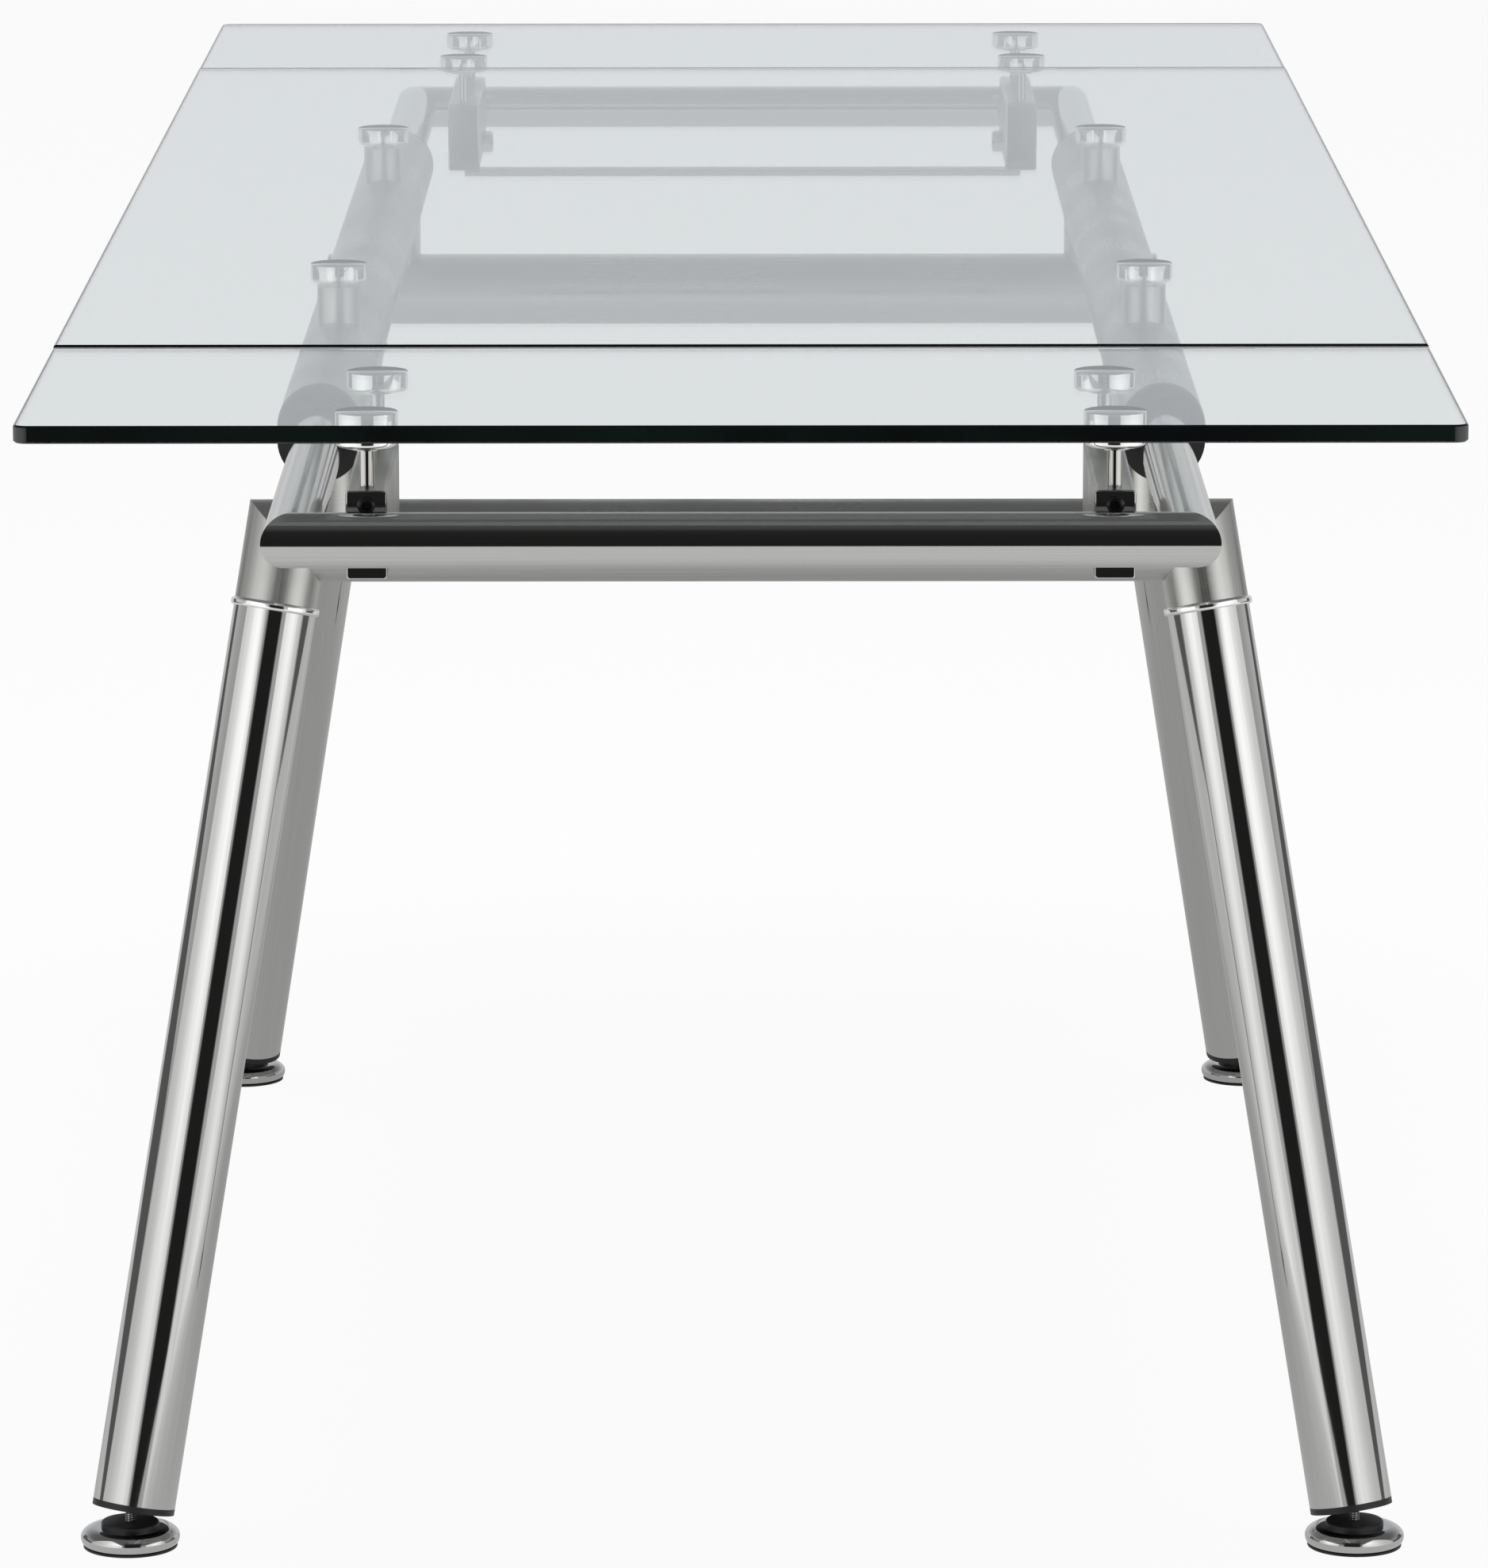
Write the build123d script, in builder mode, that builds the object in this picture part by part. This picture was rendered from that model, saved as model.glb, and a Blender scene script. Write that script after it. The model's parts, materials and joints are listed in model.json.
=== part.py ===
"""Extendable glass dining table in millimetres, with +Z up and the origin on the floor under its centre.

The near end is at -Y and the far end at +Y. Left is -X and right is +X.
"""

import os

from build123d import *

os.makedirs("parts", exist_ok=True)

ENDS = {"near": -1, "far": 1}
SIDES = {"left": -1, "right": 1}

# Glass top
table_height = 746
top_width = 800
main_length = 1400
leaf_length = 296
seam_gap = 4
leaf_drop = 0.8
glass_thickness = 10
glass_corner_radius = 8
glass_edge_chamfer = 1

# Glass supports
disc_diameter = 35
disc_thickness = 11
disc_edge_chamfer = 1
main_disc_spacing = 690
post_diameter = 27
neck_diameter = 16
neck_height = 2.5

# Side rails of the fixed frame
frame_axis_below_top = 70
rail_diameter = 50
rail_wall = 2
rail_length = 1218
bush_flange = 6
bush_spigot = 30

# Pull-out end frames
tube_diameter = 31
tube_wall = 1.5
cross_tube_inset = 33
tube_inside_rail = 200
glide_length = 30
slide_clearance = 0.3
fit_clearance = 0.1

# Leaf carriers on the end frames
carrier_spacing = 416
carrier_width = 23
carrier_rail_clearance = 5.5
carrier_height = 50
carrier_wall = 1.5
carrier_corner_radius = 2.5
cap_flange = 1.5
cap_edge_inset = 0.3
cap_corner_radius = 1.5
cap_insert = 6
cap_screw_diameter = 10
cap_screw_head = 2.5
cap_screw_below_top = 8.2
leaf_rod_diameter = 8
leaf_rod_pitch = 150
leaf_rod_inset = 12
leaf_rod_reach = 12
leaf_rod_head_diameter = 18
leaf_rod_head = 1.5
tie_rod_diameter = 7
tie_rod_inset = 22
pivot_cap_diameter = 16
pivot_cap_length = 8
pivot_cap_below_axis = 14
pivot_cap_chamfer = 1.5

# Leg frames
yoke_below_top = 147
yoke_from_centre = 514
yoke_post_diameter = 38
leg_diameter = 50
leg_wall = 2
leg_top_from_rail = 26
leg_splay_x = 95
leg_splay_y = 110
leg_end_height = 22
socket_length = 38
collar_proud = 2
collar_height = 5
collar_rounding = 1.8
spigot_start = 28
spigot_length = 90
spigot_wall = 3
plug_flange = 4
plug_insert = 28

# Levelling feet
foot_diameter = 60
foot_pad_thickness = 1.4
foot_pad_inset = 1.5
foot_cover_height = 8.2
foot_cover_wall = 1.2
foot_flat_diameter = 46
foot_boss_diameter = 39
foot_boss_rise = 3.2
foot_boss_chamfer = 0.8
foot_rim_height = 4.6
foot_rim_inset = 3
foot_pivot_height = 11
stud_diameter = 6
stud_length = 44
stud_running_clearance = 0.05

# Levels and places that follow from the sizes above
glass_bottom = table_height - glass_thickness
disc_bottom = glass_bottom - disc_thickness
leaf_glass_bottom = glass_bottom - leaf_drop
leaf_disc_bottom = disc_bottom - leaf_drop
post_top = disc_bottom - neck_height
frame_z = table_height - frame_axis_below_top
yoke_z = table_height - yoke_below_top
rail_spacing = carrier_spacing + carrier_width + rail_diameter + 2 * carrier_rail_clearance
rail_x = rail_spacing / 2
rail_bore = rail_diameter - 2 * rail_wall
rail_end_y = rail_length / 2
bush_end_y = rail_end_y + bush_flange
tube_radius = tube_diameter / 2
leaf_inner_y = main_length / 2 + seam_gap
leaf_outer_y = leaf_inner_y + leaf_length
cross_tube_y = leaf_outer_y - cross_tube_inset
tube_inner_y = bush_end_y - tube_inside_rail
carrier_x = carrier_spacing / 2
carrier_length = leaf_rod_pitch + 2 * leaf_rod_inset
carrier_outer_y = cross_tube_y - tube_radius - cap_flange
carrier_inner_y = carrier_outer_y - carrier_length
carrier_mid_y = (carrier_outer_y + carrier_inner_y) / 2
carrier_top = frame_z + carrier_height / 2
carrier_bottom = frame_z - carrier_height / 2
tie_rod_y = carrier_inner_y + tie_rod_inset
tie_rod_z = carrier_bottom - tie_rod_diameter / 2
pivot_cap_z = frame_z - pivot_cap_below_axis
leg_radius = leg_diameter / 2
leg_bore = leg_diameter - 2 * leg_wall
leg_top_x = rail_x + leg_top_from_rail
leg_foot_x = leg_top_x + leg_splay_x
leg_foot_y = yoke_from_centre + leg_splay_y
yoke_reach = leg_top_x + leg_diameter
collar_diameter = leg_diameter + 2 * collar_proud


def save(name, piece):
    """Label a finished piece and write it as a step file of the same name."""
    piece.part.label = name
    export_step(piece.part, f"parts/{name}.step")


def plane_along_x(x, y, z):
    """A plane facing +X whose own y direction is the part's +Z."""
    return Plane(origin=(x, y, z), x_dir=(0, 1, 0), z_dir=(1, 0, 0))


def plane_along_y(x, y, z):
    """A plane facing +Y whose own x direction is the part's -X, so that its y direction is +Z."""
    return Plane(origin=(x, y, z), x_dir=(-1, 0, 0), z_dir=(0, 1, 0))


def ring(outer_diameter, inner_diameter):
    """A round tube's section in the sketch being made."""
    Circle(outer_diameter / 2)
    Circle(inner_diameter / 2, mode=Mode.SUBTRACT)


def round_edges(piece, diameter):
    """The circular edges of a piece that have one diameter."""
    circles = piece.edges().filter_by(GeomType.CIRCLE)
    return circles.filter_by(lambda edge: abs(2 * edge.radius - diameter) < 0.1)


def leg_line(side, end):
    """The leg's centre line, from the middle of the yoke tube's end to where it meets the foot's axis."""
    top = Vector(side * leg_top_x, end * yoke_from_centre, yoke_z)
    bottom = Vector(side * leg_foot_x, end * leg_foot_y, foot_pivot_height)
    return top, bottom


def leg_plane(side, end, distance):
    """A plane square to the leg, facing down it, at a distance from the yoke tube's centre line."""
    top, bottom = leg_line(side, end)
    down = (bottom - top).normalized()
    return Plane(origin=top + down * distance, x_dir=(0, 1, 0), z_dir=down)


def leg_length(side, end):
    """The distance from the yoke tube's centre line to the lower end of the leg tube."""
    top, bottom = leg_line(side, end)
    share_of_line = (yoke_z - leg_end_height) / (yoke_z - foot_pivot_height)
    return (bottom - top).length * share_of_line - plug_flange


def yoke_mitre(side, end):
    """The plane where the yoke tube meets a leg socket, facing the tube."""
    top, bottom = leg_line(side, end)
    inward = Vector(-side, 0, 0)
    down = (bottom - top).normalized()
    return Plane(origin=top, z_dir=inward - down)


def frame_mitre(side, end):
    """The plane where an end frame's cross tube meets its side tube, facing the cross tube."""
    corner = (side * rail_x, end * cross_tube_y, frame_z)
    return Plane(origin=corner, z_dir=(-side, end, 0))


# Fixed glass panel
with BuildPart() as main_glass:
    with BuildSketch(Plane.XY.offset(glass_bottom)):
        Rectangle(top_width, main_length)
    extrude(amount=glass_thickness)
    flat_faces = main_glass.faces().filter_by(Axis.Z)
    chamfer(flat_faces.edges(), length=glass_edge_chamfer)
save("main_glass", main_glass)

# Round discs bonded under the fixed glass
with BuildPart() as main_discs:
    with BuildSketch(Plane.XY.offset(disc_bottom)):
        with GridLocations(rail_spacing, main_disc_spacing, 2, 2):
            Circle(disc_diameter / 2)
    extrude(amount=disc_thickness)
    chamfer(round_edges(main_discs, disc_diameter), length=disc_edge_chamfer)
save("main_discs", main_discs)

# Posts that carry those discs, each with a neck above and a saddle cut to sit on its rail
with BuildPart() as main_posts:
    with BuildSketch(Plane.XY.offset(frame_z)):
        with GridLocations(rail_spacing, main_disc_spacing, 2, 2):
            Circle(post_diameter / 2)
    extrude(amount=post_top - frame_z)
    with BuildSketch(Plane.XY.offset(post_top)):
        with GridLocations(rail_spacing, main_disc_spacing, 2, 2):
            Circle(neck_diameter / 2)
    extrude(amount=neck_height)
    for side in SIDES.values():
        with BuildSketch(plane_along_y(side * rail_x, -rail_end_y, frame_z)):
            Circle(rail_diameter / 2)
        extrude(amount=rail_length, mode=Mode.SUBTRACT)
save("main_posts", main_posts)

# Side rails
for side_name, side in SIDES.items():
    with BuildPart() as rail:
        with BuildSketch(plane_along_y(side * rail_x, -rail_end_y, frame_z)):
            ring(rail_diameter, rail_bore)
        extrude(amount=rail_length)
    save(f"{side_name}_rail", rail)

# Plastic bushes that close the rail ends and guide the pull-out tubes
with BuildPart() as rail_bushes:
    guide_bore = tube_diameter + 2 * slide_clearance
    for side in SIDES.values():
        for end in ENDS.values():
            rail_mouth = plane_along_y(side * rail_x, end * rail_end_y, frame_z)
            with BuildSketch(rail_mouth):
                ring(rail_diameter, guide_bore)
            extrude(amount=end * bush_flange)
            with BuildSketch(rail_mouth):
                ring(rail_bore - 2 * fit_clearance, guide_bore)
            extrude(amount=-end * bush_spigot)
save("rail_bushes", rail_bushes)

# Posts between the rails and the leg frames, cut round at both ends
with BuildPart() as yoke_posts:
    with BuildSketch(Plane.XY.offset(yoke_z)):
        with GridLocations(rail_spacing, 2 * yoke_from_centre, 2, 2):
            Circle(yoke_post_diameter / 2)
    extrude(amount=frame_z - yoke_z)
    for side in SIDES.values():
        with BuildSketch(plane_along_y(side * rail_x, -rail_end_y, frame_z)):
            Circle(rail_diameter / 2)
        extrude(amount=rail_length, mode=Mode.SUBTRACT)
    for end in ENDS.values():
        with BuildSketch(plane_along_x(-yoke_reach, end * yoke_from_centre, yoke_z)):
            Circle(leg_radius)
        extrude(amount=2 * yoke_reach, mode=Mode.SUBTRACT)
save("yoke_posts", yoke_posts)

# Cross tubes of the leg frames, mitred to the sockets
for end_name, end in ENDS.items():
    with BuildPart() as yoke_tube:
        with BuildSketch(plane_along_x(-yoke_reach, end * yoke_from_centre, yoke_z)):
            ring(leg_diameter, leg_bore)
        extrude(amount=2 * yoke_reach)
        for side in SIDES.values():
            split(bisect_by=yoke_mitre(side, end), keep=Keep.TOP)
    save(f"{end_name}_yoke_tube", yoke_tube)

# Sockets, collars, spigots, legs and plugs in line with each leg
for end_name, end in ENDS.items():
    for side_name, side in SIDES.items():
        with BuildPart() as leg_socket:
            with BuildSketch(leg_plane(side, end, socket_length)):
                ring(leg_diameter, leg_bore)
            extrude(amount=-(socket_length + leg_diameter))
            split(bisect_by=yoke_mitre(side, end), keep=Keep.BOTTOM)
        save(f"{end_name}_{side_name}_leg_socket", leg_socket)

        collar_end = socket_length + collar_height
        with BuildPart() as leg:
            with BuildSketch(leg_plane(side, end, collar_end)):
                ring(leg_diameter, leg_bore)
            extrude(amount=leg_length(side, end) - collar_end)
        save(f"{end_name}_{side_name}_leg", leg)

with BuildPart() as leg_collars:
    for end in ENDS.values():
        for side in SIDES.values():
            with BuildSketch(leg_plane(side, end, socket_length)):
                ring(collar_diameter, leg_bore)
            extrude(amount=collar_height)
    fillet(round_edges(leg_collars, collar_diameter), radius=collar_rounding)
save("leg_collars", leg_collars)

with BuildPart() as leg_spigots:
    for end in ENDS.values():
        for side in SIDES.values():
            spigot_diameter = leg_bore - 2 * fit_clearance
            with BuildSketch(leg_plane(side, end, spigot_start)):
                ring(spigot_diameter, spigot_diameter - 2 * spigot_wall)
            extrude(amount=spigot_length)
save("leg_spigots", leg_spigots)

with BuildPart() as leg_plugs:
    for end in ENDS.values():
        for side in SIDES.values():
            leg_mouth = leg_plane(side, end, leg_length(side, end))
            with BuildSketch(leg_mouth):
                Circle(leg_radius)
            extrude(amount=plug_flange)
            with BuildSketch(leg_mouth):
                Circle(leg_bore / 2 - fit_clearance)
            extrude(amount=-plug_insert)
    with BuildSketch(Plane.XY):
        with GridLocations(2 * leg_foot_x, 2 * leg_foot_y, 2, 2):
            Circle(stud_diameter / 2 + stud_running_clearance)
    extrude(amount=yoke_z, mode=Mode.SUBTRACT)
save("leg_plugs", leg_plugs)

# Levelling feet: a plastic core, a chrome ring pressed over it and a threaded stud
for end_name, end in ENDS.items():
    for side_name, side in SIDES.items():
        foot_name = f"{end_name}_{side_name}_foot"
        foot_x = side * leg_foot_x
        foot_y = end * leg_foot_y
        pad_top = Plane(origin=(foot_x, foot_y, foot_pad_thickness))

        with BuildPart() as foot_core:
            with BuildSketch(pad_top):
                Circle(foot_diameter / 2 - foot_pad_inset)
            extrude(amount=-foot_pad_thickness)
            with BuildSketch(pad_top):
                Circle(foot_flat_diameter / 2)
            extrude(amount=foot_cover_height - foot_cover_wall)
            with BuildSketch(pad_top):
                Circle(foot_boss_diameter / 2)
            extrude(amount=foot_cover_height + foot_boss_rise)
            boss_rim = round_edges(foot_core, foot_boss_diameter).sort_by(Axis.Z)[-1]
            chamfer(boss_rim, length=foot_boss_chamfer)
            with BuildSketch(pad_top):
                Circle(stud_diameter / 2)
            extrude(amount=stud_length, mode=Mode.SUBTRACT)
        save(f"{foot_name}_core", foot_core)

        with BuildPart() as foot_cover:
            section = Plane(origin=pad_top.origin, x_dir=(1, 0, 0), z_dir=(0, -1, 0))
            with BuildSketch(section):
                with BuildLine():
                    rim_width = foot_diameter / 2 - foot_rim_inset
                    flat_width = foot_flat_diameter / 2
                    hole_width = foot_boss_diameter / 2 + fit_clearance
                    wall_height = foot_cover_height - foot_cover_wall
                    EllipticalCenterArc(
                        (rim_width, foot_rim_height),
                        x_radius=foot_rim_inset,
                        y_radius=foot_rim_height,
                        start_angle=-90,
                        arc_size=90,
                    )
                    EllipticalCenterArc(
                        (flat_width, foot_rim_height),
                        x_radius=foot_diameter / 2 - flat_width,
                        y_radius=foot_cover_height - foot_rim_height,
                        start_angle=0,
                        arc_size=90,
                    )
                    Polyline(
                        (flat_width, foot_cover_height),
                        (hole_width, foot_cover_height),
                        (hole_width, wall_height),
                        (flat_width, wall_height),
                        (flat_width, 0),
                        (rim_width, 0),
                    )
                make_face()
            revolve(axis=Axis(pad_top.origin, (0, 0, 1)))
        save(f"{foot_name}_cover", foot_cover)

        with BuildPart() as foot_stud:
            with BuildSketch(pad_top):
                Circle(stud_diameter / 2)
            extrude(amount=stud_length)
        save(f"{foot_name}_stud", foot_stud)

# Pull-out end frames
for end_name, end in ENDS.items():
    with BuildPart() as cross_tube:
        with BuildSketch(plane_along_x(-rail_spacing, end * cross_tube_y, frame_z)):
            ring(tube_diameter, tube_diameter - 2 * tube_wall)
        extrude(amount=2 * rail_spacing)
        for side in SIDES.values():
            split(bisect_by=frame_mitre(side, end), keep=Keep.TOP)
    save(f"{end_name}_cross_tube", cross_tube)

    for side_name, side in SIDES.items():
        with BuildPart() as side_tube:
            with BuildSketch(plane_along_y(side * rail_x, end * tube_inner_y, frame_z)):
                ring(tube_diameter, tube_diameter - 2 * tube_wall)
            extrude(amount=end * (cross_tube_y + tube_diameter - tube_inner_y))
            split(bisect_by=frame_mitre(side, end), keep=Keep.BOTTOM)
        save(f"{end_name}_{side_name}_side_tube", side_tube)

    with BuildPart() as tube_glides:
        for side in SIDES.values():
            with BuildSketch(plane_along_y(side * rail_x, end * tube_inner_y, frame_z)):
                ring(rail_bore - 2 * slide_clearance, tube_diameter + 2 * fit_clearance)
            extrude(amount=end * glide_length)
    save(f"{end_name}_tube_glides", tube_glides)

    # Box tubes that carry the leaf, drilled for the leaf rods
    for side_name, side in SIDES.items():
        with BuildPart() as carrier:
            with BuildSketch(plane_along_y(side * carrier_x, end * carrier_inner_y, frame_z)):
                RectangleRounded(carrier_width, carrier_height, carrier_corner_radius)
                Rectangle(
                    carrier_width - 2 * carrier_wall,
                    carrier_height - 2 * carrier_wall,
                    mode=Mode.SUBTRACT,
                )
            extrude(amount=end * carrier_length)
            with BuildSketch(Plane.XY.offset(carrier_top - 2 * carrier_wall)):
                with Locations((0, end * carrier_mid_y)):
                    with GridLocations(carrier_spacing, leaf_rod_pitch, 2, 2):
                        Circle(leaf_rod_diameter / 2)
            extrude(amount=3 * carrier_wall, mode=Mode.SUBTRACT)
        save(f"{end_name}_{side_name}_leaf_carrier", carrier)

    with BuildPart() as carrier_caps:
        cap_width = carrier_width - 2 * cap_edge_inset
        cap_height = carrier_height - 2 * cap_edge_inset
        insert_width = carrier_width - 2 * carrier_wall - 2 * fit_clearance
        insert_height = carrier_height - 2 * carrier_wall - 2 * fit_clearance
        for side in SIDES.values():
            for mouth_y, outward in ((carrier_outer_y, end), (carrier_inner_y, -end)):
                mouth = plane_along_y(side * carrier_x, end * mouth_y, frame_z)
                with BuildSketch(mouth):
                    RectangleRounded(cap_width, cap_height, cap_corner_radius)
                extrude(amount=outward * cap_flange)
                with BuildSketch(mouth):
                    Rectangle(insert_width, insert_height)
                extrude(amount=-outward * cap_insert)
    save(f"{end_name}_carrier_caps", carrier_caps)

    with BuildPart() as cap_screws:
        screw_z = carrier_top - cap_screw_below_top
        for side in SIDES.values():
            cap_face_y = end * (carrier_outer_y + cap_flange)
            with BuildSketch(plane_along_y(side * carrier_x, cap_face_y, screw_z)):
                Circle(cap_screw_diameter / 2)
            extrude(amount=end * cap_screw_head)
    save(f"{end_name}_cap_screws", cap_screws)

    with BuildPart() as leaf_rods:
        with BuildSketch(Plane.XY.offset(carrier_top - carrier_wall - leaf_rod_reach)):
            with Locations((0, end * carrier_mid_y)):
                with GridLocations(carrier_spacing, leaf_rod_pitch, 2, 2):
                    Circle(leaf_rod_diameter / 2)
        extrude(amount=leaf_disc_bottom - carrier_top + carrier_wall + leaf_rod_reach)
        with BuildSketch(Plane.XY.offset(leaf_disc_bottom - leaf_rod_head)):
            with Locations((0, end * carrier_mid_y)):
                with GridLocations(carrier_spacing, leaf_rod_pitch, 2, 2):
                    Circle(leaf_rod_head_diameter / 2)
        extrude(amount=leaf_rod_head)
    save(f"{end_name}_leaf_rods", leaf_rods)

    with BuildPart() as tie_rod:
        with BuildSketch(plane_along_x(-carrier_x, end * tie_rod_y, tie_rod_z)):
            Circle(tie_rod_diameter / 2)
        extrude(amount=carrier_spacing)
    save(f"{end_name}_tie_rod", tie_rod)

    with BuildPart() as pivot_caps:
        for side in SIDES.values():
            carrier_face_x = side * (carrier_x - carrier_width / 2)
            with BuildSketch(plane_along_x(carrier_face_x, end * carrier_mid_y, pivot_cap_z)):
                Circle(pivot_cap_diameter / 2)
            extrude(amount=-side * pivot_cap_length)
        cap_rims = round_edges(pivot_caps, pivot_cap_diameter).sort_by(Axis.X)
        chamfer(cap_rims[1:-1], length=pivot_cap_chamfer)
    save(f"{end_name}_pivot_caps", pivot_caps)

# Extension leaves with their bonded discs
for end_name, end in ENDS.items():
    with BuildPart() as leaf_glass:
        with BuildSketch(Plane.XY.offset(leaf_glass_bottom)) as leaf_outline:
            with Locations((0, end * (leaf_inner_y + leaf_outer_y) / 2)):
                Rectangle(top_width, leaf_length)
            outer_corners = leaf_outline.vertices().sort_by(Axis.Y)[::end][-2:]
            fillet(outer_corners, radius=glass_corner_radius)
        extrude(amount=glass_thickness)
        flat_faces = leaf_glass.faces().filter_by(Axis.Z)
        chamfer(flat_faces.edges(), length=glass_edge_chamfer)
    save(f"{end_name}_leaf_glass", leaf_glass)

    with BuildPart() as leaf_discs:
        with BuildSketch(Plane.XY.offset(leaf_disc_bottom)):
            with Locations((0, end * carrier_mid_y)):
                with GridLocations(carrier_spacing, leaf_rod_pitch, 2, 2):
                    Circle(disc_diameter / 2)
        extrude(amount=disc_thickness)
        chamfer(round_edges(leaf_discs, disc_diameter), length=disc_edge_chamfer)
    save(f"{end_name}_leaf_discs", leaf_discs)
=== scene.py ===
"""Looks of the extendable glass table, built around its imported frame. Lengths are in metres."""

import json
import math

import bmesh
import bpy
from mathutils import Matrix, Vector


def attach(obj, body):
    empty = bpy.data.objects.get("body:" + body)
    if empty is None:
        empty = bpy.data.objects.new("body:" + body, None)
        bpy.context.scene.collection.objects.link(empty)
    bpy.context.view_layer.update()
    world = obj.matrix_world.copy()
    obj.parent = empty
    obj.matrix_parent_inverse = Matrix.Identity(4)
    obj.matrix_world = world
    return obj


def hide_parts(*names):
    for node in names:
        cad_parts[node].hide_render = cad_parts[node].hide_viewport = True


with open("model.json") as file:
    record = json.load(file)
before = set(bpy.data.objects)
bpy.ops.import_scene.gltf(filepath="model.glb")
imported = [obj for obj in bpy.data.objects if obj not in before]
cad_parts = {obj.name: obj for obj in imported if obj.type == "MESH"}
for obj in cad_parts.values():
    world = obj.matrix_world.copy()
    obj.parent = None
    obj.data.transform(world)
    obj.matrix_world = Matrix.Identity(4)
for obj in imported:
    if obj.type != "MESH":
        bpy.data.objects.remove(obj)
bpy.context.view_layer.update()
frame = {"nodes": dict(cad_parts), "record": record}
scene = bpy.context.scene
scene.view_settings.view_transform = "Standard"

# The photograph's width and the camera fitted to it
PHOTO_WIDTH_PX = 1876
FOCAL_PX = 11196.17
SENSOR_MM = 36
CAMERA_PLACE = (0.00424, -5.8171, 1.4992)
CAMERA_TILT = 0.195607
CAMERA_YAW = 0.000539
CAMERA_ROLL = -0.000976
CAMERA_REACH = 200

# The sign of Y at each end of the table, and of X at each side
ENDS = {"near": -1, "far": 1}
SIDES = {"left": -1, "right": 1}

# How far a leg runs out to the side, out to the end and down
LEG_RUN = (0.095, 0.110, -0.576)

# The angle past which an edge is shaded sharp, and the distance within which a piece's points are one
SHARP_ANGLE = math.radians(32)
SAME_POINT = 1e-7

# The range that a noise texture mostly keeps to
NOISE_RANGE = (0.3, 0.7)

# Base colours
CHROME = (0.64, 0.64, 0.625)
# The chrome in a brighter tone than CHROME, whose extra brightness is a painted highlight
PAINTED_HIGHLIGHT_CHROME = (0.93, 0.93, 0.915)
SATIN = (0.58, 0.58, 0.555)
ROD = (0.46, 0.455, 0.43)
BLACKENED = (0.05, 0.05, 0.05)
BLACK = (0.018, 0.018, 0.019)

# Directions of the lines in metal
X_AXIS, Y_AXIS, Z_AXIS = (1, 0, 0), (0, 1, 0), (0, 0, 1)


def make_camera():
    """The camera at the photograph's place, angle and lens."""
    data = bpy.data.cameras.new("photo_camera")
    data.sensor_fit = "HORIZONTAL"
    data.sensor_width = SENSOR_MM
    data.lens = FOCAL_PX / PHOTO_WIDTH_PX * SENSOR_MM
    data.clip_end = CAMERA_REACH
    camera = bpy.data.objects.new("photo_camera", data)
    turn = (
        Matrix.Rotation(CAMERA_YAW, 4, "Z")
        @ Matrix.Rotation(math.pi / 2 - CAMERA_TILT, 4, "X")
        @ Matrix.Rotation(CAMERA_ROLL, 4, "Z")
    )
    camera.matrix_world = Matrix.Translation(CAMERA_PLACE) @ turn
    scene.collection.objects.link(camera)
    scene.camera = camera


class Nodes:
    """A short way to add and link the nodes of one material or world."""

    def __init__(self, tree):
        self.tree = tree
        tree.nodes.clear()

    def put(self, value, socket):
        """Link a node's output to a socket, or set the socket to a plain value."""
        if isinstance(value, bpy.types.NodeSocket):
            self.tree.links.new(value, socket)
        else:
            socket.default_value = value

    def add(self, kind, inputs=None, **settings):
        node = self.tree.nodes.new(kind)
        for name, value in settings.items():
            setattr(node, name, value)
        for name, value in (inputs or {}).items():
            self.put(value, node.inputs[name])
        return node

    def place(self):
        return self.add("ShaderNodeTexCoord").outputs["Object"]

    def parts(self, vector):
        return self.add("ShaderNodeSeparateXYZ", {"Vector": vector}).outputs

    def noise(self, place, scale, detail):
        node = self.add("ShaderNodeTexNoise", {"Vector": place, "Scale": scale, "Detail": detail})
        return node.outputs["Fac"]

    def math(self, operation, first, second=0.0, third=0.0):
        node = self.add("ShaderNodeMath", operation=operation)
        for value, socket in zip((first, second, third), node.inputs):
            self.put(value, socket)
        return node.outputs[0]

    def span(self, value, low, high, to_low=0.0, to_high=1.0):
        node = self.add(
            "ShaderNodeMapRange",
            {"Value": value, "From Min": low, "From Max": high, "To Min": to_low, "To Max": to_high},
            interpolation_type="SMOOTHSTEP",
        )
        return node.outputs[0]

    def ramp(self, value, stops):
        node = self.add("ShaderNodeValToRGB", {"Fac": value})
        elements = node.color_ramp.elements
        while len(elements) < len(stops):
            elements.new(0.5)
        for element, (position, level) in zip(elements, stops):
            element.position = position
            element.color = tuple(level) + (1,) if hasattr(level, "__len__") else (level, level, level, 1)
        return node.outputs["Color"]

    def bump(self, height, strength, distance):
        inputs = {"Height": height, "Strength": strength, "Distance": distance}
        return self.add("ShaderNodeBump", inputs).outputs[0]

    def emission(self, color, strength=1.0):
        return self.add("ShaderNodeEmission", {"Color": color, "Strength": strength}).outputs[0]

    def mix_shader(self, share, first, second):
        node = self.add("ShaderNodeMixShader", {"Fac": share})
        self.tree.links.new(first, node.inputs[1])
        self.tree.links.new(second, node.inputs[2])
        return node.outputs[0]


def new_material(name):
    """An empty node material and the helper for its nodes."""
    material = bpy.data.materials.new(name)
    material.use_nodes = True
    return material, Nodes(material.node_tree)


def along(nodes, axis, across_scale, along_scale):
    """Object coordinates stretched along a direction, for drawn or brushed lines."""
    turn = Vector(axis).rotation_difference(Vector(Z_AXIS)).to_euler()
    turned = nodes.add("ShaderNodeMapping", {"Vector": nodes.place(), "Rotation": turn}).outputs[0]
    scale = (across_scale, across_scale, along_scale)
    return nodes.add("ShaderNodeMapping", {"Vector": turned, "Scale": scale}).outputs[0]


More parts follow.
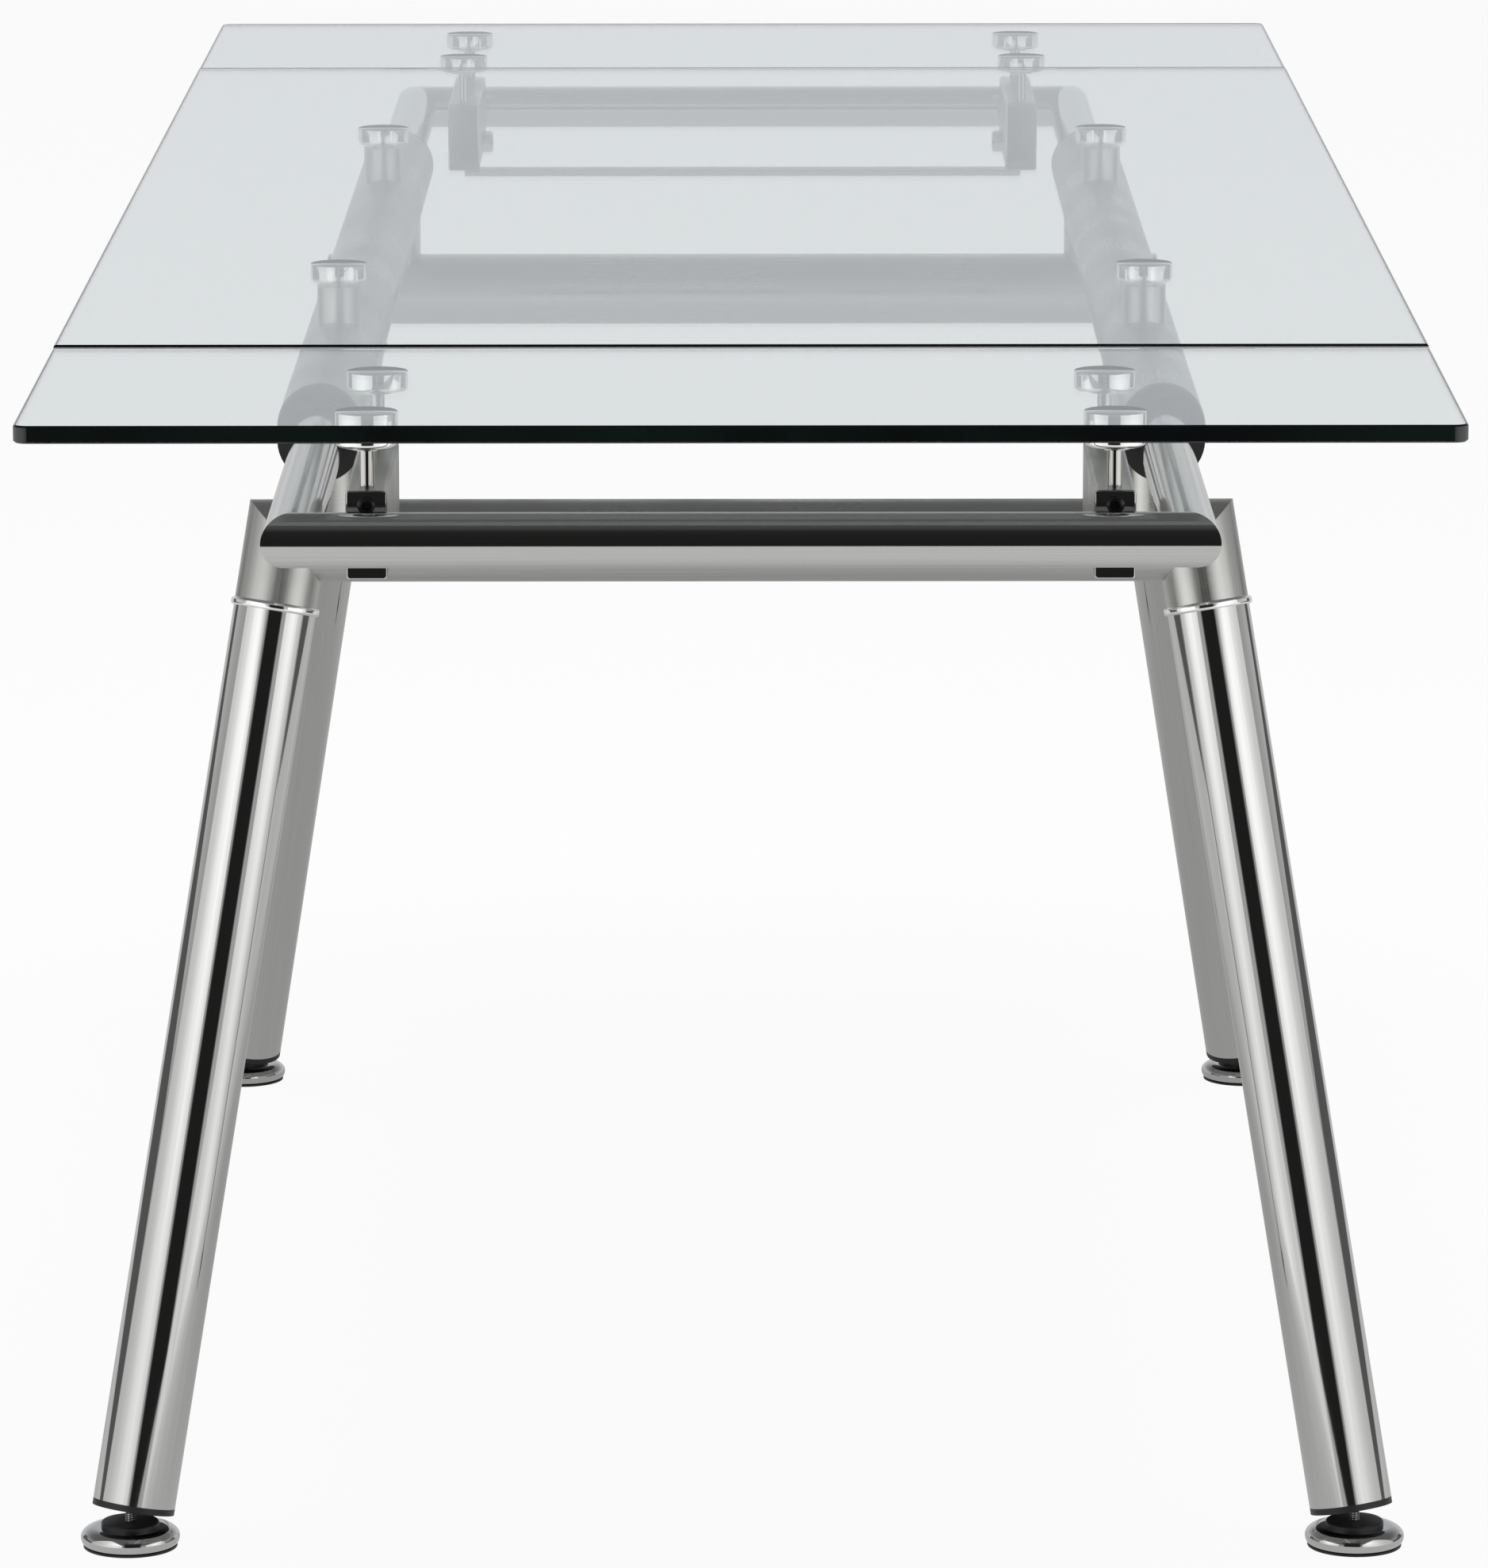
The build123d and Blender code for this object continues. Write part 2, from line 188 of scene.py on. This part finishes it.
def metal(name, axis, tone, roughness, streak, wave):
    """Metal with fine lines along an axis, cloudy roughness and a faint waviness of its surface."""
    line_scale, line_stretch, line_height = 900, 6, 0.35
    cloud_scale = 14.0
    base_share, line_share, cloud_share = 0.45, 0.6, 0.5
    bump_strength, bump_distance = 0.12, 0.00004
    material, nodes = new_material(name)
    lines = nodes.noise(along(nodes, axis, line_scale, line_stretch), scale=1.0, detail=3.0)
    clouds = nodes.noise(nodes.place(), cloud_scale, detail=4.0)
    low = tuple(value * (1 - streak) for value in tone)
    color = nodes.ramp(nodes.span(lines, *NOISE_RANGE), [(0, low), (1, tone)])
    rough = nodes.math(
        "ADD",
        nodes.math("MULTIPLY", nodes.span(clouds, *NOISE_RANGE), roughness * cloud_share),
        nodes.math("MULTIPLY_ADD", lines, roughness * line_share, roughness * base_share),
    )
    height = nodes.math("MULTIPLY_ADD", clouds, wave, nodes.math("MULTIPLY", lines, line_height))
    normal = nodes.bump(height, bump_strength, bump_distance)
    shader = nodes.add(
        "ShaderNodeBsdfPrincipled",
        {"Base Color": color, "Metallic": 1.0, "Roughness": rough, "Normal": normal},
    ).outputs[0]
    nodes.add("ShaderNodeOutputMaterial", {"Surface": shader})
    return material


def plastic(name, tone, roughness):
    """Moulded plastic with a fine grain and slight cloudiness."""
    grain_scale, cloud_scale = 1400.0, 60.0
    dark_share, roughness_range = 0.7, 0.18
    bump_strength, bump_distance = 0.25, 0.00015
    material, nodes = new_material(name)
    place = nodes.place()
    grain = nodes.noise(place, grain_scale, detail=2.0)
    clouds = nodes.noise(place, cloud_scale, detail=3.0)
    dark = tuple(value * dark_share for value in tone)
    color = nodes.ramp(nodes.span(clouds, *NOISE_RANGE), [(0, dark), (1, tone)])
    rough = nodes.math("MULTIPLY_ADD", clouds, roughness_range, roughness - roughness_range / 2)
    normal = nodes.bump(grain, bump_strength, bump_distance)
    shader = nodes.add(
        "ShaderNodeBsdfPrincipled", {"Base Color": color, "Roughness": rough, "Normal": normal}
    ).outputs[0]
    nodes.add("ShaderNodeOutputMaterial", {"Surface": shader})
    return material


def glass(name):
    """Clear float glass with faint wipe marks in its gloss, and ground edges whose deep green is the glass's
    own tint and whose near blackness is painted shade.
    """
    refraction, tint = 1.52, (0.99, 1.0, 0.995, 1)
    mark_scale, mark_range, mark_roughness = 5.0, (0.45, 0.75), 0.012
    edge_scale, edge_range, edge_roughness = 7.0, (0.35, 0.7), 0.16
    # The edges' tones: their green is the glass's own tint, their near blackness painted shade
    edge_tint_and_shade = [(0, (0.004, 0.008, 0.008)), (1, (0.009, 0.022, 0.018))]
    depth_color, depth_density = (0.2, 0.62, 0.5, 1), 5.0
    # The rise of a face's normal below which the face is an edge of the pane
    edge_below = 0.5
    material, nodes = new_material(name)
    place = nodes.place()
    marks = nodes.noise(place, mark_scale, detail=5.0)
    clear = nodes.add(
        "ShaderNodeBsdfPrincipled",
        {
            "Base Color": tint,
            "Roughness": nodes.span(marks, *mark_range, 0.0, mark_roughness),
            "IOR": refraction,
            "Transmission Weight": 1.0,
        },
    ).outputs[0]
    depths = nodes.noise(place, edge_scale, detail=3.0)
    green = nodes.ramp(nodes.span(depths, *edge_range), edge_tint_and_shade)
    # The pane's edges, opaque and nearly black: painted shade
    edge = nodes.add(
        "ShaderNodeBsdfPrincipled", {"Base Color": green, "Roughness": edge_roughness, "IOR": refraction}
    ).outputs[0]
    facing = nodes.add("ShaderNodeNewGeometry").outputs["True Normal"]
    upright = nodes.math("ABSOLUTE", nodes.parts(facing)["Z"])
    surface = nodes.mix_shader(nodes.math("LESS_THAN", upright, edge_below), clear, edge)
    inside = nodes.add(
        "ShaderNodeVolumeAbsorption", {"Color": depth_color, "Density": depth_density}
    ).outputs[0]
    nodes.add("ShaderNodeOutputMaterial", {"Surface": surface, "Volume": inside})
    return material


def dress(material, *names):
    """Give CAD nodes one material."""
    for name in names:
        data = frame["nodes"][name].data
        data.materials.clear()
        data.materials.append(material)


# Looks that several metals share
turned = {"roughness": 0.05, "streak": 0.03, "wave": 0.3}
satin = {"tone": SATIN, "roughness": 0.34, "streak": 0.12, "wave": 1.0}
leg_chrome = {"tone": CHROME, "roughness": 0.05, "streak": 0.05, "wave": 0.6}

clear_glass = glass("clear_float_glass")
chrome_x = metal("chrome_tube_across", X_AXIS, CHROME, roughness=0.06, streak=0.05, wave=0.6)
chrome_y = metal("chrome_tube_lengthwise", Y_AXIS, CHROME, roughness=0.07, streak=0.08, wave=0.6)
chrome_z = metal("chrome_turned", Z_AXIS, CHROME, **turned)
# The turned chrome in the brighter tone: a painted highlight
highlight_chrome_z = metal("chrome_turned_painted_highlight", Z_AXIS, PAINTED_HIGHLIGHT_CHROME, **turned)
rod_z = metal("drawn_rod", Z_AXIS, ROD, roughness=0.06, streak=0.05, wave=0.3)
satin_z = metal("satin_turned", Z_AXIS, **satin)
satin_x = metal("satin_steel_across", X_AXIS, **satin)
satin_y = metal("satin_steel_lengthwise", Y_AXIS, **satin)
black_plastic = plastic("black_moulded_plastic", BLACK, roughness=0.42)
blackened = metal("blackened_steel", Y_AXIS, BLACKENED, roughness=0.35, streak=0.2, wave=0.5)

dress(clear_glass, "main_glass", "near_leaf_glass", "far_leaf_glass")
# The collars take the brighter chrome, a painted highlight
dress(highlight_chrome_z, "leg_collars")
dress(satin_z, "main_posts")
dress(satin_y, "left_rail", "right_rail")
dress(satin_x, "near_yoke_tube", "far_yoke_tube", "yoke_posts", "leg_spigots")
dress(black_plastic, "rail_bushes", "leg_plugs")
for end, end_sign in ENDS.items():
    dress(chrome_x, f"{end}_cross_tube", f"{end}_tie_rod", f"{end}_pivot_caps")
    dress(rod_z, f"{end}_leaf_rods")
    dress(black_plastic, f"{end}_tube_glides")
    for side, side_sign in SIDES.items():
        dress(chrome_y, f"{end}_{side}_side_tube")
        dress(satin_y, f"{end}_{side}_leaf_carrier")
        leg_axis = (side_sign * LEG_RUN[0], end_sign * LEG_RUN[1], LEG_RUN[2])
        dress(metal(f"chrome_leg_{end}_{side}", leg_axis, **leg_chrome), f"{end}_{side}_leg")
        dress(metal(f"satin_socket_{end}_{side}", leg_axis, **satin), f"{end}_{side}_leg_socket")


def solids(node):
    """The lowest and highest corner of each separate solid in a CAD node, in the order of their places."""
    weld = 1e-6
    joined = bmesh.new()
    joined.from_mesh(frame["nodes"][node].data)
    bmesh.ops.remove_doubles(joined, verts=joined.verts, dist=weld)
    waiting = set(joined.verts)
    corners = []
    while waiting:
        group = [waiting.pop()]
        for vert in group:
            for edge in vert.link_edges:
                other = edge.other_vert(vert)
                if other in waiting:
                    waiting.remove(other)
                    group.append(other)
        low = Vector([min(vert.co[axis] for vert in group) for axis in range(3)])
        high = Vector([max(vert.co[axis] for vert in group) for axis in range(3)])
        corners.append((low, high))
    joined.free()
    return sorted(corners, key=lambda pair: tuple(pair[0]))


class Form:
    """The points and faces of one visual piece."""

    def __init__(self):
        self.points = []
        self.faces = []

    def add_face(self, corners):
        self.faces.append(tuple(dict.fromkeys(corners)))

    def join(self, rings):
        """Faces between each ring of points and the next."""
        count = len(rings[0])
        for lower, upper in zip(rings, rings[1:]):
            for step in range(count):
                after = (step + 1) % count
                self.add_face((lower[step], lower[after], upper[after], upper[step]))

    def spin(self, profile, place, steps=96):
        """Turn (radius, height) pairs about a place's own Z. A radius may be a function of the angle."""
        rings = []
        for radius, height in profile:
            first = len(self.points)
            count = 1 if radius == 0 else steps
            for step in range(count):
                angle = 2 * math.pi * step / steps
                reach = radius(angle) if callable(radius) else radius
                point = Vector((reach * math.cos(angle), reach * math.sin(angle), height))
                self.points.append(place @ point)
            rings.append([first + step % count for step in range(steps)])
        self.join(rings)

    def stack(self, outlines, place):
        """Join outlines of (x, y, height) points, each with the same count, and close both ends."""
        rings = []
        for outline in outlines:
            first = len(self.points)
            self.points += [place @ Vector(point) for point in outline]
            rings.append(range(first, len(self.points)))
        self.join(rings)
        self.add_face(rings[0])
        self.add_face(rings[-1])

    def build(self, node, material):
        """Make the piece, which stands for a CAD node and moves with its body."""
        mesh = bpy.data.meshes.new(f"{node}_look")
        mesh.from_pydata(self.points, [], self.faces)
        mesh.materials.append(material)
        tidied = bmesh.new()
        tidied.from_mesh(mesh)
        bmesh.ops.remove_doubles(tidied, verts=tidied.verts, dist=SAME_POINT)
        bmesh.ops.recalc_face_normals(tidied, faces=tidied.faces)
        tidied.to_mesh(mesh)
        tidied.free()
        mesh.shade_smooth()
        mesh.set_sharp_from_angle(angle=SHARP_ANGLE)
        piece = bpy.data.objects.new(f"{node}_look", mesh)
        scene.collection.objects.link(piece)
        bodies = frame["record"]["behaviour"]["bodies"]
        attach(piece, next(body for body, nodes in bodies.items() if node in nodes))
        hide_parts(node)


def arc(centre, across, up, start, end, steps):
    """Points of an elliptical arc in a (radius, height) profile, between two angles in degrees."""
    turns = [math.radians(start + (end - start) * step / steps) for step in range(steps + 1)]
    return [(centre[0] + across * math.cos(turn), centre[1] + up * math.sin(turn)) for turn in turns]


def make_discs(node):
    """Turned discs, bonded into the glass above them so that no air shows between."""
    lower_edge, upper_edge, bevel, bond = 0.0028, 0.0009, 0.00027, 0.0001
    form = Form()
    for low, high in solids(node):
        radius = (high.x - low.x) / 2
        height = high.z - low.z
        centre = (low + high) / 2
        profile = [(0, 0)] + arc((radius - lower_edge, lower_edge), lower_edge, lower_edge, -90, 0, steps=6)
        profile += [(radius, height - bevel), (radius - bevel, height)]
        profile += [(radius - upper_edge, height + bond), (0, height + bond)]
        form.spin(profile, Matrix.Translation((centre.x, centre.y, low.z)))
    # The discs take the brighter chrome, a painted highlight
    form.build(node, highlight_chrome_z)


def make_stud(node):
    """A stud with a rolled thread."""
    pitch, depth, rows_per_turn = 0.00125, 0.0006, 8
    low, high = solids(node)[0]
    radius = (high.x - low.x) / 2
    length = high.z - low.z
    centre = (low + high) / 2
    rows = int(length / pitch * rows_per_turn)

    def thread(height):
        def reach(angle):
            share = (height / pitch - angle / (2 * math.pi)) % 1
            return radius - depth * abs(2 * share - 1)

        return reach

    heights = [length * row / rows for row in range(rows + 1)]
    profile = [(0, 0)] + [(thread(height), height) for height in heights] + [(0, length)]
    form = Form()
    form.spin(profile, Matrix.Translation((centre.x, centre.y, low.z)), steps=24)
    form.build(node, chrome_z)


def make_foot(foot):
    """A levelling foot: a domed chrome cover around a black core that stands through it."""
    boss_radius, boss_rise, chamfer, clearance = 0.0175, 0.0032, 0.0008, 0.0001
    rim_inset, rim_height, crown_radius, crown_rise = 0.003, 0.0046, 0.0205, 0.0027
    pad_low, pad_high = solids(f"{foot}_core")[0]
    low, high = solids(f"{foot}_cover")[0]
    stud_low, stud_high = solids(f"{foot}_stud")[0]
    radius = (high.x - low.x) / 2
    crown = high.z - low.z + crown_rise
    centre = (low + high) / 2

    hole = boss_radius + clearance
    rim = arc((radius - rim_inset, rim_height), rim_inset, rim_height, -90, 0, steps=12)
    dome = arc((crown_radius, rim_height), radius - crown_radius, crown - rim_height, 0, 90, steps=12)
    profile = [(hole, 0)] + rim + dome[1:] + [(hole, crown), (hole, 0)]
    cover = Form()
    cover.spin(profile, Matrix.Translation((centre.x, centre.y, low.z)))
    cover.build(f"{foot}_cover", chrome_z)

    pad_radius = (pad_high.x - pad_low.x) / 2
    stud_radius = (stud_high.x - stud_low.x) / 2
    top = low.z + crown + boss_rise
    profile = [(0, 0), (pad_radius, 0), (pad_radius, low.z), (boss_radius, low.z)]
    profile += [(boss_radius, top - chamfer), (boss_radius - chamfer, top)]
    profile += [(stud_radius, top), (stud_radius, stud_low.z), (0, stud_low.z)]
    core = Form()
    core.spin(profile, Matrix.Translation((centre.x, centre.y, 0)))
    core.build(f"{foot}_core", black_plastic)


def outward(place, end_sign):
    """A place whose own Z points out of the table's end and whose own Y points up."""
    return Matrix.Translation(place) @ Matrix.Rotation(math.pi / 2, 4, "X") @ (
        Matrix.Identity(4) if end_sign < 0 else Matrix.Rotation(math.pi, 4, "Y")
    )


def make_cap_screws(node, end_sign):
    """Button-head screws with a hexagon socket."""
    across_flats, socket_depth = 0.004, 0.0016
    side_share, crown_share, flat_share = 0.2, 0.55, 0.58

    def hexagon(angle):
        return across_flats / 2 / math.cos(angle % (math.pi / 3) - math.pi / 6)

    form = Form()
    for low, high in solids(node):
        radius = (high.x - low.x) / 2
        height = high.y - low.y
        centre = (low + high) / 2
        face_y = high.y if end_sign < 0 else low.y
        crown = (crown_share * radius, side_share * height)
        profile = [(0, 0), (radius, 0)]
        profile += arc(crown, radius - crown[0], height - crown[1], 0, 75, steps=5)
        profile += [(flat_share * radius, height), (hexagon, height)]
        profile += [(hexagon, height - socket_depth), (0, height - socket_depth)]
        form.spin(profile, outward((centre.x, face_y, centre.z), end_sign), steps=48)
    form.build(node, blackened)


def rounded_rectangle(width, height, radius, depth):
    """Points of a rectangle with rounded corners, at one depth."""
    corner_steps = 6
    points = []
    for corner in range(4):
        x = (width / 2 - radius) * (1 if corner in (0, 3) else -1)
        y = (height / 2 - radius) * (1 if corner in (0, 1) else -1)
        for step in range(corner_steps + 1):
            turn = math.radians(90 * (corner + step / corner_steps))
            points.append((x + radius * math.cos(turn), y + radius * math.sin(turn), depth))
    return points


def make_carrier_caps(node, end_sign):
    """Polished caps with a rounded rim, which mirror the dark card in front of the table, a painted dark
    reflection.
    """
    flange, corner, rim, wall, insert = 0.0015, 0.0015, 0.0005, 0.0006, 0.006
    # What each outline lacks of the cap's full width, and its depth, from inside the tube to the flat face
    outlines = [
        (2 * wall, -flange - insert),
        (2 * wall, -flange),
        (0, -flange),
        (0, -rim),
        (0.6 * rim, -0.3 * rim),
        (2 * rim, 0),
        (2.4 * rim, 0),
    ]
    caps = solids(node)
    middle_y = sum((low.y + high.y) / 2 for low, high in caps) / len(caps)
    form = Form()
    for low, high in caps:
        centre = (low + high) / 2
        outer = end_sign * (centre.y - middle_y) > 0
        facing = end_sign if outer else -end_sign
        face_y = low.y if facing < 0 else high.y
        width, height = high.x - low.x, high.z - low.z
        form.stack(
            [rounded_rectangle(width - less, height - less, corner, depth) for less, depth in outlines],
            outward((centre.x, face_y, centre.z), facing),
        )
    form.build(node, chrome_x)


for node in ("main_discs", "near_leaf_discs", "far_leaf_discs"):
    make_discs(node)
for end, end_sign in ENDS.items():
    make_cap_screws(f"{end}_cap_screws", end_sign)
    make_carrier_caps(f"{end}_carrier_caps", end_sign)
    for side in SIDES:
        make_stud(f"{end}_{side}_foot_stud")
        make_foot(f"{end}_{side}_foot")


def make_floor():
    """A pale floor, white to the camera and through glass, that keeps the table's shadow; metal mirrors it
    dimmer, in painted shade under and behind the table.
    """
    reach, matte_tone, mirror_share, white_share = 40, (0.9, 0.9, 0.9, 1), 0.9, 0.94
    # Painted shade that metal mirrors in the floor: from where to where its level changes along X and along
    # Y, and its levels there
    shade_aside = (0.3, 0.95, 0.72, 1.0)
    shade_back = (-1.2, -0.1, 1.0, 0.64)
    mesh = bpy.data.meshes.new("floor")
    corners = [(-reach, -reach, 0), (reach, -reach, 0), (reach, reach, 0), (-reach, reach, 0)]
    mesh.from_pydata(corners, [], [(0, 1, 2, 3)])
    floor = bpy.data.objects.new("floor", mesh)
    scene.collection.objects.link(floor)
    material, nodes = new_material("pale_floor")
    path = nodes.add("ShaderNodeLightPath").outputs
    seen = nodes.math("MAXIMUM", path["Is Camera Ray"], path["Is Transmission Ray"])
    parts = nodes.parts(nodes.place())
    aside = nodes.span(nodes.math("ABSOLUTE", parts["X"]), *shade_aside)
    shade = nodes.math("MULTIPLY", aside, nodes.span(parts["Y"], *shade_back))
    matte = nodes.add("ShaderNodeBsdfDiffuse", {"Color": matte_tone}).outputs[0]
    mirrored = nodes.math("MULTIPLY", path["Is Glossy Ray"], mirror_share)
    # Metal sees the floor glow in painted shade
    to_metal = nodes.mix_shader(mirrored, matte, nodes.emission(shade))
    whitened = nodes.math("MULTIPLY", seen, white_share)
    to_camera = nodes.mix_shader(whitened, to_metal, nodes.emission((1, 1, 1, 1)))
    nodes.add("ShaderNodeOutputMaterial", {"Surface": to_camera})
    mesh.materials.append(material)


def make_world():
    """A studio with pale walls, brightest low down behind the table, and a dim ceiling."""
    wall_tones = [(0.0, 0.5), (0.55, 0.5), (0.8, 0.58), (1.0, (0.66, 0.675, 0.71))]
    ceiling_tone, ceiling_range = (0.14, 0.14, 0.145, 1), (0.05, 0.7)
    world = bpy.data.worlds.new("studio")
    world.use_nodes = True
    scene.world = world
    nodes = Nodes(world.node_tree)
    parts = nodes.parts(nodes.add("ShaderNodeTexCoord").outputs["Generated"])
    walls = nodes.ramp(nodes.span(parts["Y"], -1.0, 1.0), wall_tones)
    rise = nodes.span(parts["Z"], *ceiling_range)
    color = nodes.add("ShaderNodeMix", {"Factor": rise, "A": walls, "B": ceiling_tone}, data_type="RGBA")
    inputs = {"Color": color.outputs["Result"], "Strength": 1.0}
    background = nodes.add("ShaderNodeBackground", inputs).outputs[0]
    nodes.add("ShaderNodeOutputWorld", {"Surface": background})


def add_card(name, points, faces, material):
    """A card that only metal and glass reflect, and that casts no shadow: it paints reflections."""
    mesh = bpy.data.meshes.new(name)
    mesh.from_pydata(points, [], faces)
    mesh.materials.append(material)
    card = bpy.data.objects.new(name, mesh)
    scene.collection.objects.link(card)
    card.visible_camera = False
    card.visible_diffuse = False
    card.visible_transmission = False
    card.visible_shadow = False


def make_dark_card():
    """A dark card in front of the table, arched from near the floor to overhead, with soft sides, that glows
    faintly and only shows in metal and glass: a painted dark reflection.
    """
    half_width, fade, radius, centre_y, centre_z = 0.93, 0.25, 2.0, -0.85, 0.68
    lowest, highest, steps = -16, 77, 24
    levels, level_from = [(0.0, 0.018), (0.6, 0.025), (1.0, 0.1)], 0.4
    points, faces = [], []
    for step in range(steps + 1):
        rise = math.radians(lowest + (highest - lowest) * step / steps)
        y = centre_y - radius * math.cos(rise)
        z = centre_z + radius * math.sin(rise)
        points += [(-half_width, y, z), (half_width, y, z)]
    for step in range(steps):
        faces.append((2 * step, 2 * step + 1, 2 * step + 3, 2 * step + 2))
    material, nodes = new_material("painted_dark_reflection")
    parts = nodes.parts(nodes.place())
    top = centre_z + radius
    # The card's faint glow, darker low down: a painted dark reflection
    dark = nodes.emission(nodes.ramp(nodes.span(parts["Z"], level_from * top, top), levels))
    clear = nodes.add("ShaderNodeBsdfTransparent").outputs[0]
    aside = nodes.span(nodes.math("ABSOLUTE", parts["X"]), half_width - fade, half_width)
    nodes.add("ShaderNodeOutputMaterial", {"Surface": nodes.mix_shader(aside, dark, clear)})
    add_card("dark_card", points, faces, material)


def make_side_cards():
    """A glowing white card on each side of the near legs, fading towards the table's middle and its own top,
    that only metal and glass see: a painted highlight.
    """
    from_centre, near_y, far_y, height, fade = 0.75, -1.95, -0.6, 0.98, 0.25
    levels = [(0.0, 0.78), (0.3, 0.92), (0.6, 1.06), (0.85, 0.95), (1.0, 0.62)]
    # From where to where the strength rises with height, and its levels there
    strength_rise = (0.1, 0.75, 1.1, 1.5)
    material, nodes = new_material("painted_highlight_card")
    parts = nodes.parts(nodes.place())
    level = nodes.ramp(nodes.span(parts["Y"], near_y, far_y), levels)
    # The card's glow, which only metal and glass see: a painted highlight
    lit = nodes.emission(level, nodes.span(parts["Z"], *strength_rise))
    clear = nodes.add("ShaderNodeBsdfTransparent").outputs[0]
    shader = nodes.mix_shader(nodes.span(parts["Z"], height - fade, height), lit, clear)
    nodes.add("ShaderNodeOutputMaterial", {"Surface": shader})
    for side, side_sign in SIDES.items():
        x = side_sign * from_centre
        points = [(x, near_y, 0), (x, far_y, 0), (x, far_y, height), (x, near_y, height)]
        add_card(f"{side}_painted_highlight_card", points, [(0, 1, 2, 3)], material)


def make_flags():
    """A dark upright flag behind the table on each side, glowing faintly and seen only in metal and glass: a
    painted dark reflection for the dark line at the legs' outer edges.
    """
    tone = (0.12, 0.125, 0.125, 1)
    # The places of a flag's folds from the table's middle, and its height at each
    folds = [(1.75, 1.05, 0.8), (1.9, 0.45, 0.8), (1.9, 0.44, 0.58), (2.1, -0.45, 0.4)]
    material, nodes = new_material("painted_dark_reflection_flag")
    # The flag's faint glow: a painted dark reflection
    nodes.add("ShaderNodeOutputMaterial", {"Surface": nodes.emission(tone)})
    for side, side_sign in SIDES.items():
        points = [(side_sign * x, y, z) for x, y, height in folds for z in (0, height)]
        faces = [(0, 1, 3, 2), (2, 3, 5, 4), (4, 5, 7, 6)]
        add_card(f"{side}_flag", points, faces, material)


def make_lamp(name, place, aim, size, power):
    """A soft square lamp aimed at a point, which metal and glass don't reflect."""
    data = bpy.data.lights.new(name, "AREA")
    data.shape = "SQUARE"
    data.size = size
    data.energy = power
    lamp = bpy.data.objects.new(name, data)
    lamp.location = place
    lamp.rotation_euler = (Vector(aim) - Vector(place)).to_track_quat("-Z", "Y").to_euler()
    lamp.visible_glossy = False
    lamp.visible_transmission = False
    scene.collection.objects.link(lamp)


make_camera()
make_floor()
make_world()
make_dark_card()
make_side_cards()
make_flags()
make_lamp("overhead_softbox", place=(0, 0.3, 4.2), aim=(0, 0, 0), size=3.0, power=150)
